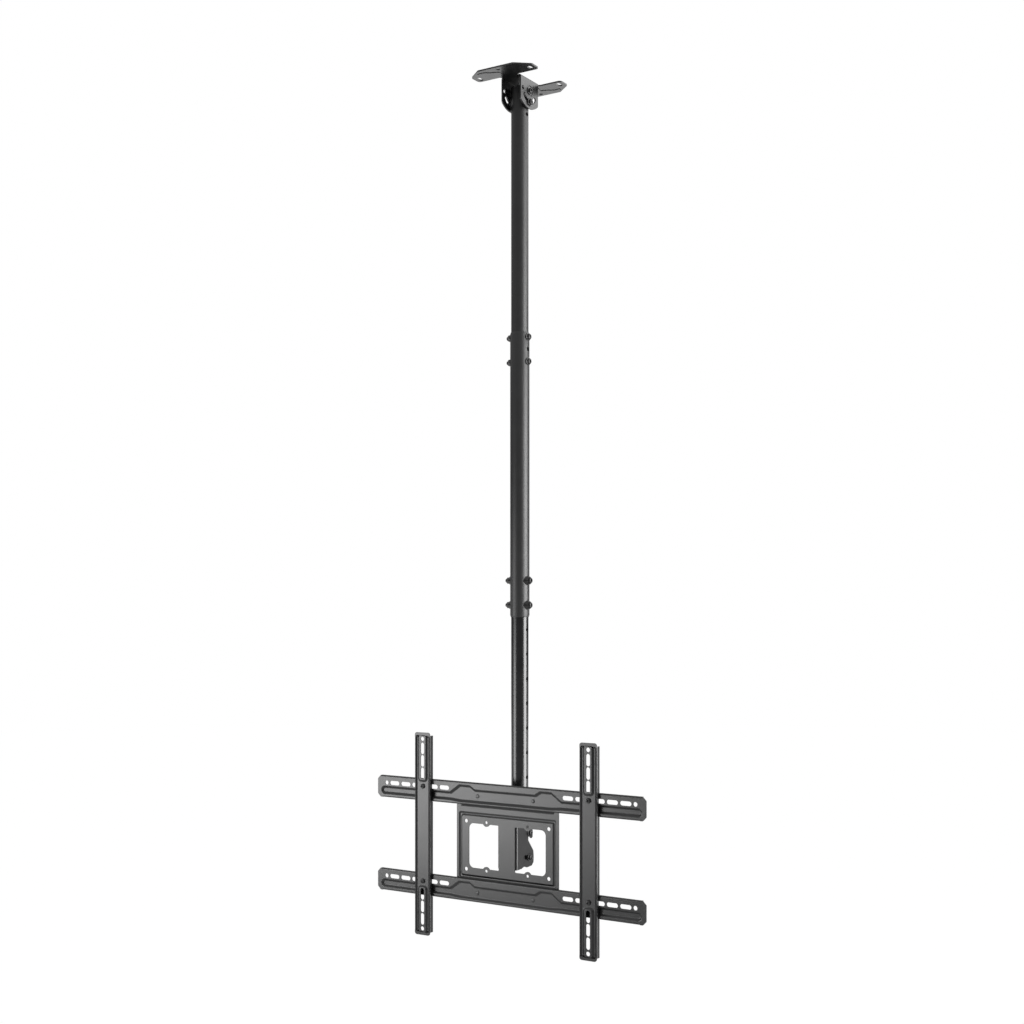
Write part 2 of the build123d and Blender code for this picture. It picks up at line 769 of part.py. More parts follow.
def save(name, solids):
    if not isinstance(solids, list):
        solids = [solids]
    shape = solids[0] if len(solids) == 1 else Compound(children=solids)
    shape.label = name
    export_step(shape, f"parts/{name}.step")


def save_clamp(prefix, z_rows, head_seat, nut_seat, plural):
    screws, nuts = clamp_set(z_rows, head_seat, nut_seat)
    ending = "s" if plural else ""
    save(f"{prefix}_screw{ending}", screws)
    save(f"{prefix}_nut{ending}", nuts)


def save_parts():
    os.makedirs("parts", exist_ok=True)
    save("ceiling_plate", make_ceiling_plate())
    pivot_seat = ceiling_ear_face - dish_depth
    save("ceiling_pivot_washers", washer_pairs([ceiling_pivot_z], pivot_seat))
    pivot_grip = pivot_seat + washer_thickness
    save_clamp("ceiling_pivot", [ceiling_pivot_z], pivot_grip, pivot_grip, False)

    save("upper_tube", make_upper_tube())
    save("middle_tube", make_middle_tube())
    save("lower_tube", make_lower_tube())
    lock_seat = ceiling_ear_face + slide_gap
    save("ceiling_lock_washers", washer_pairs([ceiling_lock_z], lock_seat))
    lock_grip = lock_seat + washer_thickness
    save_clamp("ceiling_lock", [ceiling_lock_z], lock_grip, lock_grip, False)
    pivot_spacer = spacer(slim_radius, ear_gap_half - dish_depth - slide_gap)
    lock_spacer = spacer(slim_radius, ear_gap_half - slide_gap)
    spacers = mirrored_pairs(pivot_spacer, [ceiling_pivot_z])
    spacers += mirrored_pairs(lock_spacer, [ceiling_lock_z])
    save("ceiling_spacers", spacers)

    save("upper_joint_washers", washer_pairs(upper_joint_rows, wide_radius))
    joint_grip = wide_radius + washer_thickness
    save_clamp("upper_joint", upper_joint_rows, joint_grip, joint_grip, True)
    saddle_face = wide_radius + saddle_height
    joint_saddle = saddle(wide_radius, saddle_face_diameter, saddle_face)
    save("lower_joint_saddles", mirrored_pairs(joint_saddle, lower_joint_rows))
    save_clamp("lower_joint", lower_joint_rows, saddle_face, saddle_face, True)

    tilt_seat = tilt_ear_face + slide_gap
    tilt_grip = tilt_seat + washer_thickness
    for prefix, z in (("tilt_pivot", tilt_pivot_z), ("tilt_lock", tilt_lock_z)):
        save(f"{prefix}_washers", washer_pairs([z], tilt_seat))
        save_clamp(prefix, [z], tilt_grip, tilt_grip, False)
    save("tilt_spacers", mirrored_pairs(lock_spacer, [tilt_pivot_z, tilt_lock_z]))

    save("tilt_bracket", make_tilt_bracket())
    save("vesa_plate", make_vesa_plate())
    for name in rail_hole_z:
        save(name, make_rail(name))
    save("rail_rivets", frame_rivets())
    save("left_bracket", make_bracket(-1))
    save("right_bracket", make_bracket(1))
    screws, washers, nuts = bracket_fasteners()
    save("bracket_screws", screws)
    save("bracket_washers", washers)
    save("bracket_nuts", nuts)


save_parts()
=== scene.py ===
import json
import math

import bmesh
import bpy
from mathutils import Matrix, Vector


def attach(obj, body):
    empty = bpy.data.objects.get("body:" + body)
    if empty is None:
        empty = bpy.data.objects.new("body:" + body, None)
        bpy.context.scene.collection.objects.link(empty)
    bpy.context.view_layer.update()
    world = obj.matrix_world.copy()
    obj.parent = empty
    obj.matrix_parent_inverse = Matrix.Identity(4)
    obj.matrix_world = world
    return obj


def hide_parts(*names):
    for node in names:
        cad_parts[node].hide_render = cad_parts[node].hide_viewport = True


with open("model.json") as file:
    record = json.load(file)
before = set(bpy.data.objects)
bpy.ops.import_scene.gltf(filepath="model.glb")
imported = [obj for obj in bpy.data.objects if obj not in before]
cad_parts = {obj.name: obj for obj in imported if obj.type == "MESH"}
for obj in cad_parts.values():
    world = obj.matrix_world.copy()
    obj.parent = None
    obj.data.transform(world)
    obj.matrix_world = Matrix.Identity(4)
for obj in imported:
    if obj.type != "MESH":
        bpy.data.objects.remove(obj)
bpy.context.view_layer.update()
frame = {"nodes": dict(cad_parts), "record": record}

scene = bpy.context.scene
millimetre = 0.001
print("frame loaded:", len(frame["nodes"]), "CAD nodes")


# Shader maths: one socket wrapped so that plain arithmetic builds the nodes
class Wire:
    def __init__(self, tree, socket=None):
        self.tree = tree
        self.socket = socket

    def node(self, kind, settings, values, output=0):
        made = self.tree.nodes.new(kind)
        for name, value in settings.items():
            setattr(made, name, value)
        for key, value in values.items():
            if isinstance(value, Wire):
                self.tree.links.new(value.socket, made.inputs[key])
            else:
                made.inputs[key].default_value = value
        if len(made.outputs) == 0:
            return None
        return Wire(self.tree, made.outputs[output])

    def maths(self, operation, first, second):
        return self.node("ShaderNodeMath", {"operation": operation}, {0: first, 1: second})

    def __add__(self, other):
        return self.maths("ADD", self, other)

    def __radd__(self, other):
        return self.maths("ADD", other, self)

    def __sub__(self, other):
        return self.maths("SUBTRACT", self, other)

    def __rsub__(self, other):
        return self.maths("SUBTRACT", other, self)

    def __mul__(self, other):
        return self.maths("MULTIPLY", self, other)

    def __rmul__(self, other):
        return self.maths("MULTIPLY", other, self)

    def __truediv__(self, other):
        return self.maths("DIVIDE", self, other)

    def __rtruediv__(self, other):
        return self.maths("DIVIDE", other, self)

    # 0 below the edge and 1 above it, with a soft step
    def over(self, edge, softness):
        values = {"Value": self, "From Min": edge - softness, "From Max": edge + softness}
        return self.node("ShaderNodeMapRange", {"interpolation_type": "SMOOTHSTEP"}, values)

    # Noise around 0.5 over this coordinate
    def noise(self, scale, detail, roughness=0.5):
        values = {"Vector": self, "Scale": scale, "Detail": detail, "Roughness": roughness}
        return self.node("ShaderNodeTexNoise", {}, values)

    # The first colour where this is 0, the second where it is 1
    def blend(self, first, second):
        settings = {"data_type": "RGBA", "blend_type": "MIX"}
        return self.node("ShaderNodeMix", settings, {0: self, 6: first, 7: second}, 2)

    # A bump normal from this height in metres
    def bump(self):
        return self.node("ShaderNodeBump", {}, {"Strength": 1.0, "Distance": 1.0, "Height": self})


def newMaterial(name):
    material = bpy.data.materials.new(name)
    material.use_nodes = True
    material.node_tree.nodes.clear()
    return material, Wire(material.node_tree)


# Finishes
powderCoat = {
    "deep": (0.0052, 0.0053, 0.0056, 1.0),
    "pale": (0.0088, 0.0089, 0.0093, 1.0),
    "roughness": 0.30,
    "tubeRoughness": 0.46,       # the two upper tubes are duller than the sheets
    "lowerTubeRoughness": 0.25,  # and the lower tube is glossier
    "roughnessSwing": 0.08,
    "grainSwing": 0.05,
    "ior": 1.58,
    "peelScale": 420.0,          # the slow waves of the cured powder
    "peelDepth": 0.000005,
    "grainScale": 2400.0,        # its fine grain
    "grainDepth": 0.0000015,
    "mottleScale": 34.0,         # slow clouds of shade
    "mottleSoftness": 0.22,
}


def powderCoatMaterial(name, spec, roughness):
    material, graph = newMaterial(name)
    place = graph.node("ShaderNodeTexCoord", {}, {}, "Object")
    mottle = place.noise(spec["mottleScale"], detail=4.0, roughness=0.55)
    peel = place.noise(spec["peelScale"], detail=2.0, roughness=0.45)
    grain = place.noise(spec["grainScale"], detail=1.0)
    height = peel * spec["peelDepth"] + grain * spec["grainDepth"]
    cloud = (mottle - 0.5) * spec["roughnessSwing"]
    speck = (grain - 0.5) * spec["grainSwing"]
    values = {
        "Base Color": mottle.over(0.5, spec["mottleSoftness"]).blend(spec["deep"], spec["pale"]),
        "Roughness": cloud + speck + roughness,
        "IOR": spec["ior"],
        "Normal": height.bump(),
    }
    shader = graph.node("ShaderNodeBsdfPrincipled", {}, values)
    graph.node("ShaderNodeOutputMaterial", {}, {"Surface": shader})
    return material


blackOxide = {
    "deep": (0.008, 0.008, 0.0085, 1.0),
    "pale": (0.018, 0.018, 0.0185, 1.0),
    "roughness": 0.27,
    "screwRoughness": 0.34,
    "ior": 1.75,
    "screwIor": 1.5,       # the screws are duller and darker than nuts and washers
    "wearSwing": 0.16,
    "brushSwing": 0.08,
    "brushScale": 900.0,
    "brushDepth": 0.000006,
    "wearScale": 260.0,
    "wearFrom": 0.55,      # where the noise turns to the paler oxide
    "wearSoftness": 0.18,
}


def blackOxideMaterial(name, spec, ior, roughness):
    material, graph = newMaterial(name)
    place = graph.node("ShaderNodeTexCoord", {}, {}, "Object")
    wear = place.noise(spec["wearScale"], detail=4.0, roughness=0.6)
    brush = place.noise(spec["brushScale"], detail=2.0)
    worn = (wear - 0.5) * spec["wearSwing"]
    brushed = (brush - 0.5) * spec["brushSwing"]
    values = {
        "Base Color": wear.over(spec["wearFrom"], spec["wearSoftness"]).blend(spec["deep"], spec["pale"]),
        "IOR": ior,
        "Roughness": worn + brushed + roughness,
        "Normal": (brush * spec["brushDepth"]).bump(),
    }
    shader = graph.node("ShaderNodeBsdfPrincipled", {}, values)
    graph.node("ShaderNodeOutputMaterial", {}, {"Surface": shader})
    return material


nylon = {
    "deep": (0.016, 0.016, 0.017, 1.0),
    "pale": (0.024, 0.024, 0.025, 1.0),
    "roughness": 0.52,
    "roughnessSwing": 0.12,
    "grainScale": 1400.0,
    "grainDepth": 0.00001,
    "cloudShare": 0.1,     # scale of the clouds against the grain's
}


def nylonMaterial(name, spec):
    material, graph = newMaterial(name)
    place = graph.node("ShaderNodeTexCoord", {}, {}, "Object")
    grain = place.noise(spec["grainScale"], detail=2.0, roughness=0.6)
    cloudScale = spec["grainScale"] * spec["cloudShare"]
    cloud = place.noise(cloudScale, detail=2.0, roughness=0.6)
    values = {
        "Base Color": cloud.blend(spec["deep"], spec["pale"]),
        "Roughness": (grain - 0.5) * spec["roughnessSwing"] + spec["roughness"],
        "Normal": (grain * spec["grainDepth"]).bump(),
    }
    shader = graph.node("ShaderNodeBsdfPrincipled", {}, values)
    graph.node("ShaderNodeOutputMaterial", {}, {"Surface": shader})
    return material


# One finish for each material slot, then the pieces that differ from their slot
finishes = {
    "sheet_black": powderCoatMaterial("sheetPowderCoat", powderCoat, powderCoat["roughness"]),
    "tube_black": powderCoatMaterial("tubePowderCoat", powderCoat, powderCoat["tubeRoughness"]),
    "fastener_black": blackOxideMaterial(
        "blackOxideSteel", blackOxide, blackOxide["ior"], blackOxide["roughness"]
    ),
    "spacer_nylon": nylonMaterial("blackNylon", nylon),
}
lowerTubeCoat = powderCoatMaterial("lowerTubePowderCoat", powderCoat, powderCoat["lowerTubeRoughness"])
coatedSteel = powderCoatMaterial("coatedSteel", powderCoat, powderCoat["roughness"])
screwSteel = blackOxideMaterial(
    "screwBlackOxide", blackOxide, blackOxide["screwIor"], blackOxide["screwRoughness"]
)
slotOf = {part["node"]: part["material_slot"] for part in frame["record"]["subparts"]}
bodyOf = {}
for bodyName, members in frame["record"]["behaviour"]["bodies"].items():
    for member in members:
        bodyOf[member] = bodyName
print("finishes ready:", ", ".join(finishes))


# Pieces: a finished mesh takes the place of a CAD node, on the node's body
def finishPiece(mesh, name, node, finish=None):
    piece = bpy.data.objects.new(name, mesh)
    scene.collection.objects.link(piece)
    mesh.materials.clear()
    mesh.materials.append(finish or finishes[slotOf[node]])
    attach(piece, bodyOf[node])
    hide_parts(node)
    return piece


sharpDegrees = 32.0    # edges sharper than this aren't smoothed over
weld = 0.000001


# A face wider than flatFrom is shaded flat, so that a rounded fold beside it stays narrow
def meshFrom(bm, name, flatFrom=1.0):
    for face in bm.faces:
        face.smooth = 2 * face.calc_area() / face.calc_perimeter() < flatFrom
    for edge in bm.edges:
        edge.smooth = edge.calc_face_angle(0.0) < math.radians(sharpDegrees)
    mesh = bpy.data.meshes.new(name)
    bm.to_mesh(mesh)
    bm.free()
    return mesh


# An extruded loop lists its faces in another order each run, so they are put in the vertices' order
def sortFaces(bm):
    bm.verts.index_update()
    count = len(bm.verts)

    def rank(face):
        marks = sorted(vert.index for vert in face.verts)
        return (marks[0] * count + marks[1]) * count + marks[2]

    bm.faces.sort(key=rank)


def closedMesh(bm, name):
    bmesh.ops.remove_doubles(bm, verts=bm.verts, dist=weld)
    bmesh.ops.recalc_face_normals(bm, faces=bm.faces)
    sortFaces(bm)
    return meshFrom(bm, name)


def softenEdges(piece, width):
    bevel = piece.modifiers.new("coatedEdges", "BEVEL")
    bevel.width = width
    bevel.segments = 2
    bevel.limit_method = "ANGLE"
    bevel.angle_limit = math.radians(sharpDegrees)
    bevel.use_clamp_overlap = True
    bevel.harden_normals = True
    bevel.profile = 0.5
    return piece


# Sheets, tubes and spacers keep the CAD shape. The coating rounds their cut edges by at most this
coatedEdges = {
    "sheet_black": 0.00024,
    "tube_black": 0.00020,
    "fastener_black": 0.00025,
    "spacer_nylon": 0.00030,
}


def mergedCopy(node):
    bm = bmesh.new()
    bm.from_mesh(frame["nodes"][node].data)
    bmesh.ops.remove_doubles(bm, verts=bm.verts, dist=weld)
    return bm


# Pressed folds of a sheet are rounder than its cut edges: their angle in degrees tells them apart
pressedFolds = {
    "plate": 0.0010,        # width of the rounding on each side of a fold
    "rail": 0.0013,
    "arm": 0.00055,
    "segments": 3,
    "shallowest": 22.0,
    "steepest": 62.0,
    "flat": 0.4,            # triangles within this angle are joined to one face first
    "flatFrom": 0.0022,
}


def roundFolds(bm, width, spec):
    flat = math.radians(spec["flat"])
    bmesh.ops.dissolve_limit(bm, angle_limit=flat, verts=bm.verts, edges=bm.edges, delimit={"NORMAL"})
    low = math.radians(spec["shallowest"])
    high = math.radians(spec["steepest"])
    folds = [edge for edge in bm.edges if low < edge.calc_face_angle(0.0) < high]
    bmesh.ops.bevel(
        bm,
        geom=folds,
        offset=width,
        offset_type="OFFSET",
        affect="EDGES",
        segments=spec["segments"],
        profile=0.5,
        material=-1,
        clamp_overlap=False,
    )
    bmesh.ops.remove_doubles(bm, verts=bm.verts, dist=weld)
    bmesh.ops.dissolve_degenerate(bm, dist=weld, edges=bm.edges)


def coatNode(node, name, finish=None, fold=None):
    bm = mergedCopy(node)
    if fold:
        roundFolds(bm, fold, pressedFolds)
        mesh = meshFrom(bm, name, flatFrom=pressedFolds["flatFrom"])
    else:
        mesh = meshFrom(bm, name)
    piece = finishPiece(mesh, name, node, finish)
    return softenEdges(piece, coatedEdges[slotOf[node]])


# The box of each loose solid in a node, so that new pieces sit where the CAD has them
def solidBoxes(node):
    bm = mergedCopy(node)
    for vert in bm.verts:
        vert.tag = False
    boxes = []
    for first in bm.verts:
        if first.tag:
            continue
        first.tag = True
        group = [first]
        for vert in group:
            for edge in vert.link_edges:
                other = edge.other_vert(vert)
                if not other.tag:
                    other.tag = True
                    group.append(other)
        low = Vector([min(vert.co[axis] for vert in group) for axis in range(3)])
        high = Vector([max(vert.co[axis] for vert in group) for axis in range(3)])
        boxes.append((low, high))
    bm.free()
    return boxes


# Turned and hexagonal rings, in millimetres, which one loop of edges is extruded through
ringSegments = 48


def roundRing(radius, height):
    return lambda angle: (radius, height)


def hexRing(flats, height, coneRadius=0.0, coneSlope=0.0):
    def at(angle):
        offCentre = (angle + math.pi / 6) % (math.pi / 3) - math.pi / 6
        reach = flats / 2 / math.cos(offCentre)
        return reach, height + coneSlope * (reach - coneRadius)
    return at


def placeRing(verts, ring):
    for vert in verts:
        angle = math.atan2(vert.co.y, vert.co.x)
        reach, height = ring(angle)
        place = Vector((reach * math.cos(angle), reach * math.sin(angle), height))
        vert.co = place * millimetre


def ringEdges(verts):
    near = set(verts)
    loop = []
    for vert in verts:
        for edge in vert.link_edges:
            if edge not in loop and edge.other_vert(vert) in near:
                loop.append(edge)
    return loop


# A closed tube of rings ends where it started; an open one has a flat cap at each end
def turnedSolid(bm, rings, closed):
    made = bmesh.ops.create_circle(bm, cap_ends=not closed, radius=1.0, segments=ringSegments)
    verts = made["verts"]
    every = list(verts)
    for ring in rings:
        if ring is not rings[0]:
            grown = bmesh.ops.extrude_edge_only(bm, edges=ringEdges(verts))["geom"]
            verts = [item for item in grown if isinstance(item, bmesh.types.BMVert)]
            every.extend(verts)
        placeRing(verts, ring)
    if not closed:
        bmesh.ops.contextual_create(bm, geom=ringEdges(verts))
    return every


def standAlong(bm, verts, axis, place):
    if axis == "X":
        turn = Matrix.Rotation(math.radians(90.0), 4, "Y")    # the head points to +X
    else:
        turn = Matrix.Rotation(math.radians(90.0), 4, "X")    # the head points to -Y
    bmesh.ops.transform(bm, matrix=Matrix.Translation(place) @ turn, verts=verts)


# Where a thread's crest ends, and where its root starts and ends, as shares of the pitch
threadProfile = {
    "crestEnd": 0.15,
    "rootStart": 0.5,
    "rootEnd": 0.65,
}


# Ridges of a thread from one height down to another, between two radii
def threadRings(radius, depth, pitch, top, bottom):
    rings = []
    turns = int((top - bottom) / pitch)
    for turn in range(turns):
        crest = top - turn * pitch
        rings.append(roundRing(radius, crest))
        rings.append(roundRing(radius, crest - threadProfile["crestEnd"] * pitch))
        rings.append(roundRing(radius - depth, crest - threadProfile["rootStart"] * pitch))
        rings.append(roundRing(radius - depth, crest - threadProfile["rootEnd"] * pitch))
    return rings


poleScrew = {
    "shankRadius": 4.0,
    "headHeight": 4.4,
    "brim": 1.3,            # straight part of the head above its seat
    "socket": 5.0,
    "socketDepth": 2.6,
    "socketRim": 0.35,
    "domeSteps": 9,
    "pitch": 1.25,
    "threadDepth": 0.62,
    "threadLength": 17.0,
    "tip": 0.7,
}
armScrew = {
    "shankRadius": 3.0,
    "headHeight": 3.3,
    "brim": 1.0,
    "socket": 4.0,
    "socketDepth": 2.0,
    "socketRim": 0.3,
    "domeSteps": 9,
    "pitch": 1.0,
    "threadDepth": 0.5,
    "threadLength": 12.0,
    "tip": 0.6,
}


screwDetail = {
    "drillRadius": 0.3,     # the point that the drill leaves in the socket's floor
    "drillDepth": 0.6,
    "mouth": 0.3,           # slope at the socket's edge
    "seatEdge": 0.25,       # slope at the head's lower edge
    "runOut": 0.3,          # from the thread's last ridge to the full shank
    "tipEase": 0.1,
}


# A domed screw with a hexagon socket: its seat is at height 0 and its tip at -length
def screwRings(spec, headRadius, length):
    top = spec["headHeight"]
    rim = spec["socket"] / math.sqrt(3.0) + spec["socketRim"]
    floor = top - spec["socketDepth"]
    rings = [
        roundRing(screwDetail["drillRadius"], floor - screwDetail["drillDepth"]),
        hexRing(spec["socket"], floor),
        hexRing(spec["socket"], top - screwDetail["mouth"]),
        roundRing(rim, top),
    ]
    for step in range(1, spec["domeSteps"] + 1):
        angle = math.pi / 2 * step / spec["domeSteps"]
        radius = rim + (headRadius - rim) * math.sin(angle)
        rings.append(roundRing(radius, spec["brim"] + (top - spec["brim"]) * math.cos(angle)))
    shank = spec["shankRadius"]
    threadTop = -length + spec["threadLength"]
    edge = screwDetail["seatEdge"]
    rings.append(roundRing(headRadius, edge))
    rings.append(roundRing(headRadius - edge, 0.0))
    rings.append(roundRing(shank, 0.0))
    rings.append(roundRing(shank, threadTop + screwDetail["runOut"]))
    threadEnd = -length + spec["tip"]
    rings += threadRings(shank, spec["threadDepth"], spec["pitch"], threadTop, threadEnd)
    ease = screwDetail["tipEase"]
    rings.append(roundRing(shank - ease, threadEnd))
    rings.append(roundRing(shank - spec["threadDepth"] - ease, -length))
    return rings


def makeScrews(node, name, axis, spec):
    bm = bmesh.new()
    for low, high in solidBoxes(node):
        middle = (low + high) / 2
        head = spec["headHeight"] * millimetre
        if axis == "X":
            span = high.x - low.x
            place = Vector((high.x - head, middle.y, middle.z))
            headRadius = (high.z - low.z) / 2 / millimetre
        else:
            span = high.y - low.y
            place = Vector((middle.x, low.y + head, middle.z))
            headRadius = (high.x - low.x) / 2 / millimetre
        length = (span - head) / millimetre
        verts = turnedSolid(bm, screwRings(spec, headRadius, length), False)
        standAlong(bm, verts, axis, place)
    return finishPiece(closedMesh(bm, name), name, node, screwSteel)


nut = {
    "seatShare": 0.95,      # the flat seat's share of the width across flats
    "seatSlope": 0.55,
    "crownShare": 0.76,     # the outer end narrows far more, to a low crown
    "crownSlope": 1.15,
    "mouth": 0.4,
    "threadStart": 0.05,
    "threadDepth": 0.5,
}
poleThread = {
    "bore": 4.05,
    "pitch": 1.25,
}
armThread = {
    "bore": 3.05,
    "pitch": 1.0,
}


# A hexagon nut: its seat is at the given height, and its crown, on the screw's tip side, at 0
def nutRings(spec, flats, bore, height, pitch):
    seat = flats / 2 * spec["seatShare"]
    crown = flats / 2 * spec["crownShare"]
    mouth = bore + spec["mouth"]
    rings = [
        roundRing(mouth, height),
        roundRing(seat, height),
        hexRing(flats, height, seat, -spec["seatSlope"]),
        hexRing(flats, 0.0, crown, spec["crownSlope"]),
        roundRing(crown, 0.0),
        roundRing(mouth, 0.0),
        roundRing(bore, spec["mouth"]),
    ]
    inside = threadRings(bore, spec["threadDepth"], pitch, height - spec["mouth"], spec["mouth"])
    rings += reversed(inside)
    rings.append(roundRing(bore, height - spec["mouth"] + spec["threadStart"]))
    rings.append(roundRing(mouth, height))
    return rings


def makeNuts(node, name, axis, spec, thread):
    bm = bmesh.new()
    for low, high in solidBoxes(node):
        middle = (low + high) / 2
        if axis == "X":
            height = (high.x - low.x) / millimetre
            flats = (high.z - low.z) / millimetre
            place = Vector((low.x, middle.y, middle.z))
        else:
            height = (high.y - low.y) / millimetre
            flats = (high.x - low.x) / millimetre
            place = Vector((middle.x, high.y, middle.z))
        rings = nutRings(spec, flats, thread["bore"], height, thread["pitch"])
        verts = turnedSolid(bm, rings, True)
        standAlong(bm, verts, axis, place)
    return finishPiece(closedMesh(bm, name), name, node)


washer = {
    "rim": 0.22,
    "rimEase": 0.3,    # how far the rim's middle ring stands in, as a share of the rim
    "mouth": 0.12,
}


# A flat washer with an eased rim, from height 0 up
def washerRings(spec, radius, bore, height):
    rim = spec["rim"]
    ease = spec["rimEase"] * rim
    mouth = spec["mouth"]
    return [
        roundRing(bore, mouth),
        roundRing(bore + mouth, 0.0),
        roundRing(radius - rim, 0.0),
        roundRing(radius - ease, ease),
        roundRing(radius, rim),
        roundRing(radius, height - rim),
        roundRing(radius - ease, height - ease),
        roundRing(radius - rim, height),
        roundRing(bore + mouth, height),
        roundRing(bore, height - mouth),
        roundRing(bore, mouth),
    ]


def makeWashers(node, name, axis, spec, bore):
    bm = bmesh.new()
    for low, high in solidBoxes(node):
        middle = (low + high) / 2
        if axis == "X":
            height = (high.x - low.x) / millimetre
            place = Vector((low.x, middle.y, middle.z))
        else:
            height = (high.y - low.y) / millimetre
            place = Vector((middle.x, high.y, middle.z))
        radius = (high.z - low.z) / 2 / millimetre
        verts = turnedSolid(bm, washerRings(spec, radius, bore, height), True)
        standAlong(bm, verts, axis, place)
    return finishPiece(closedMesh(bm, name), name, node)


rivet = {
    "shankRadius": 2.98,
    "headHeight": 0.8,
    "domeSteps": 6,
}


# A rivet with a low dome at each end
def rivetRings(spec, headRadius, length):
    seat = spec["headHeight"]
    steps = spec["domeSteps"]
    dome = []
    for step in range(1, steps + 1):
        angle = math.pi / 2 * step / steps
        dome.append((headRadius * math.sin(angle), seat * math.cos(angle)))
    rings = [roundRing(radius, length - seat + rise) for radius, rise in dome]
    rings.append(roundRing(spec["shankRadius"], length - seat))
    rings.append(roundRing(spec["shankRadius"], seat))
    rings += [roundRing(radius, seat - rise) for radius, rise in reversed(dome)]
    return rings


def makeRivets(node, name, spec, finish):
    bm = bmesh.new()
    for low, high in solidBoxes(node):
        middle = (low + high) / 2
        length = (high.y - low.y) / millimetre
        headRadius = (high.x - low.x) / 2 / millimetre
        verts = turnedSolid(bm, rivetRings(spec, headRadius, length), False)
        standAlong(bm, verts, "Y", Vector((middle.x, high.y, middle.z)))
    return finishPiece(closedMesh(bm, name), name, node, finish)


print("tools for the pieces ready")


coatNode("ceiling_plate", "ceilingPlate")
makeScrews("ceiling_pivot_screw", "ceilingPivotScrew", "X", poleScrew)
makeWashers("ceiling_pivot_washers", "ceilingPivotWashers", "X", washer, poleThread["bore"])
makeNuts("ceiling_pivot_nut", "ceilingPivotNut", "X", nut, poleThread)
print("ceiling head made")

coatNode("upper_tube", "upperTube")
coatNode("middle_tube", "middleTube")
coatNode("lower_tube", "lowerTube", lowerTubeCoat)
coatNode("ceiling_spacers", "ceilingSpacers")
coatNode("lower_joint_saddles", "lowerJointSaddles", coatedSteel)
coatNode("tilt_spacers", "tiltSpacers")
for joint in ("ceiling_lock", "upper_joint", "lower_joint", "tilt_pivot", "tilt_lock"):
    first, second = joint.split("_")
    row = "s" if second == "joint" else ""    # a joint of two tubes has two screws and two nuts
    label = first + second.capitalize()
    makeScrews(joint + "_screw" + row, label + "Screw" + row, "X", poleScrew)
    makeNuts(joint + "_nut" + row, label + "Nut" + row, "X", nut, poleThread)
    if joint != "lower_joint":
        makeWashers(joint + "_washers", label + "Washers", "X", washer, poleThread["bore"])
print("pole made")

coatNode("tilt_bracket", "tiltBracket")
coatNode("vesa_plate", "televisionPlate", fold=pressedFolds["plate"])
coatNode("upper_rail", "upperRail", fold=pressedFolds["rail"])
coatNode("lower_rail", "lowerRail", fold=pressedFolds["rail"])
coatNode("left_bracket", "leftArm", fold=pressedFolds["arm"])
coatNode("right_bracket", "rightArm", fold=pressedFolds["arm"])
makeRivets("rail_rivets", "railRivets", rivet, coatedSteel)
makeScrews("bracket_screws", "armScrews", "Y", armScrew)
makeWashers("bracket_washers", "armWashers", "Y", washer, armThread["bore"])
makeNuts("bracket_nuts", "armNuts", "Y", nut, armThread)
print("television frame made")


# Floor and light
stageSpec = {
    "floorZ": -2.6,
    "floorRadius": 14.0,
    "floorColour": (0.82, 0.82, 0.82, 1.0),
    "glow": 0.95,           # the rest is matte and keeps the object's shadow
    "glowStrength": 1.03,
    "mirroredStrength": 1.6,
    "mirroredNear": 0.06,   # share that the coat mirrors of the floor close by, then far behind
    "mirroredFar": 1.0,
    "farWay": (-0.53, 0.848, 0.0),
    "farFrom": 4.8,
    "farSoftness": 1.2,
}


def makeFloor(spec):
    bm = bmesh.new()
    bmesh.ops.create_circle(bm, cap_ends=True, radius=spec["floorRadius"], segments=96)
    bmesh.ops.translate(bm, verts=bm.verts, vec=(0.0, 0.0, spec["floorZ"]))
    mesh = bpy.data.meshes.new("paleFloor")
    bm.to_mesh(mesh)
    bm.free()
    floor = bpy.data.objects.new("paleFloor", mesh)
    scene.collection.objects.link(floor)
    material, graph = newMaterial("paleFloor")
    camera = graph.node("ShaderNodeLightPath", {}, {}, "Is Camera Ray")
    glossy = graph.node("ShaderNodeLightPath", {}, {}, "Is Glossy Ray")
    through = graph.node("ShaderNodeLightPath", {}, {}, "Is Transmission Ray")
    place = graph.node("ShaderNodeTexCoord", {}, {}, "Object")
    along = {0: place, 1: spec["farWay"]}
    depth = graph.node("ShaderNodeVectorMath", {"operation": "DOT_PRODUCT"}, along, "Value")
    matte = graph.node("ShaderNodeBsdfDiffuse", {}, {"Color": spec["floorColour"]})
    white = (1.0, 1.0, 1.0, 1.0)
    glow = graph.node("ShaderNodeEmission", {}, {"Color": white, "Strength": spec["glowStrength"]})
    shine = {"Color": white, "Strength": spec["mirroredStrength"]}
    bright = graph.node("ShaderNodeEmission", {}, shine)
    plain = (camera + through) * spec["glow"]
    seen = graph.node("ShaderNodeMixShader", {}, {0: plain, 1: matte, 2: glow})
    span = spec["mirroredFar"] - spec["mirroredNear"]
    far = depth.over(spec["farFrom"], spec["farSoftness"])
    share = glossy * (far * span + spec["mirroredNear"])
    mixed = graph.node("ShaderNodeMixShader", {}, {0: share, 1: seen, 2: bright})
    graph.node("ShaderNodeOutputMaterial", {}, {"Surface": mixed})
    mesh.materials.append(material)


worldSpec = {
    "seen": 1.0,
    "mirroredLow": 0.12,    # what the coat mirrors near the horizon, then overhead
    "mirroredHigh": 0.75,
    "highFrom": 0.26,
    "highSoftness": 0.06,
    "ambient": 0.55,
}


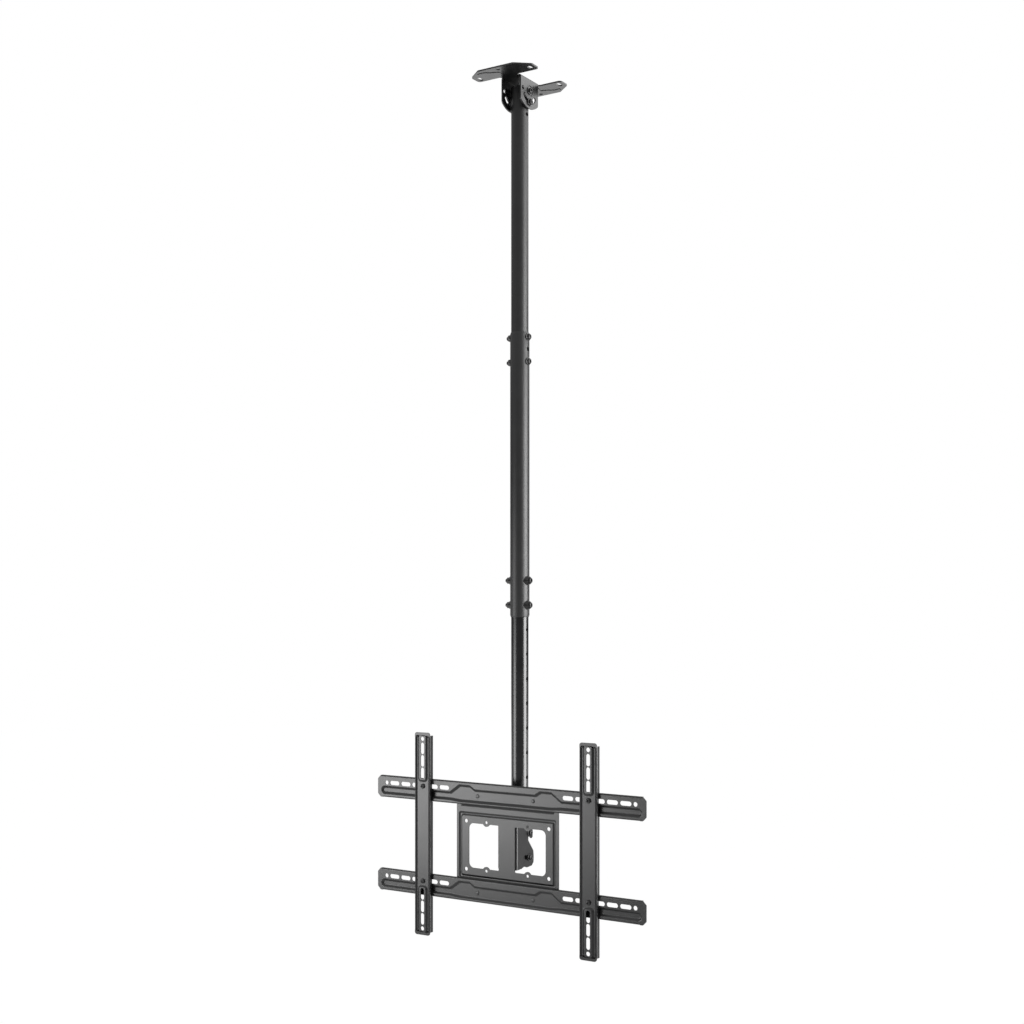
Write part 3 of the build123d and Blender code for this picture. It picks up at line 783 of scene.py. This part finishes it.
def makeWorld(spec):
    world = bpy.data.worlds.new("paleStudio")
    scene.world = world
    world.use_nodes = True
    world.node_tree.nodes.clear()
    graph = Wire(world.node_tree)
    camera = graph.node("ShaderNodeLightPath", {}, {}, "Is Camera Ray")
    glossy = graph.node("ShaderNodeLightPath", {}, {}, "Is Glossy Ray")
    rest = 1.0 - camera - glossy
    view = graph.node("ShaderNodeTexCoord", {}, {}, "Generated")
    height = graph.node("ShaderNodeSeparateXYZ", {}, {"Vector": view}, "Z")
    span = spec["mirroredHigh"] - spec["mirroredLow"]
    mirrored = height.over(spec["highFrom"], spec["highSoftness"]) * span + spec["mirroredLow"]
    strength = camera * spec["seen"] + glossy * mirrored + rest * spec["ambient"]
    values = {"Color": (1.0, 1.0, 1.0, 1.0), "Strength": strength}
    light = graph.node("ShaderNodeBackground", {}, values)
    graph.node("ShaderNodeOutputWorld", {}, {"Surface": light})


# Area lights: the azimuth in degrees counts from -Y toward +X, and each is turned to the pole's axis.
# One that is mirroredOnly shows in the gloss and leaves the plain level of the light alone
lamps = {
    "rightBox": {
        "azimuth": 106.0,
        "distance": 2.2,
        "height": -1.05,
        "aimHeight": -1.05,
        "size": (1.45, 2.3),
        "radiance": 11.5,
        "mirroredOnly": True,
    },
    "highBackBox": {
        "azimuth": 130.0,
        "distance": 2.4,
        "height": 1.0,
        "aimHeight": -0.1,
        "size": (4.4, 1.3),
        "radiance": 2.2,
        "mirroredOnly": False,
    },
    "frontLeftBox": {
        "azimuth": -40.0,
        "distance": 2.4,
        "height": -1.65,
        "aimHeight": -1.65,
        "size": (1.45, 0.8),
        "radiance": 6.2,
        "mirroredOnly": False,
    },
}


def softbox(name, spec):
    angle = math.radians(spec["azimuth"])
    reach = spec["distance"]
    place = Vector((reach * math.sin(angle), -reach * math.cos(angle), spec["height"]))
    target = Vector((0.0, 0.0, spec["aimHeight"]))
    lamp = bpy.data.lights.new(name, "AREA")
    lamp.shape = "RECTANGLE"
    lamp.size, lamp.size_y = spec["size"]
    lamp.energy = spec["radiance"] * math.pi * lamp.size * lamp.size_y
    holder = bpy.data.objects.new(name, lamp)
    holder.location = place
    holder.rotation_euler = (target - place).to_track_quat("-Z", "Y").to_euler()
    holder.visible_camera = False
    holder.visible_diffuse = not spec["mirroredOnly"]
    scene.collection.objects.link(holder)


makeFloor(stageSpec)
makeWorld(worldSpec)
for lampName, lampSpec in lamps.items():
    softbox(lampName, lampSpec)
print("stage lit")


# Camera at the photograph's angle
cameraSpec = {
    "place": (1.5643, -2.5020, -1.0677),
    "yaw": 32.33,
    "lens": 50.0,
    "sensor": 36.0,
    "rise": 83.3 / 1024.0,
    "clipEnd": 60.0,
}


def makeCamera(spec):
    lens = bpy.data.cameras.new("photoCamera")
    lens.lens = spec["lens"]
    lens.sensor_width = spec["sensor"]
    lens.shift_y = spec["rise"]
    lens.clip_end = spec["clipEnd"]
    camera = bpy.data.objects.new("photoCamera", lens)
    camera.location = spec["place"]
    camera.rotation_euler = (math.radians(90.0), 0.0, math.radians(spec["yaw"]))
    scene.collection.objects.link(camera)
    scene.camera = camera


makeCamera(cameraSpec)
scene.view_settings.view_transform = "Standard"
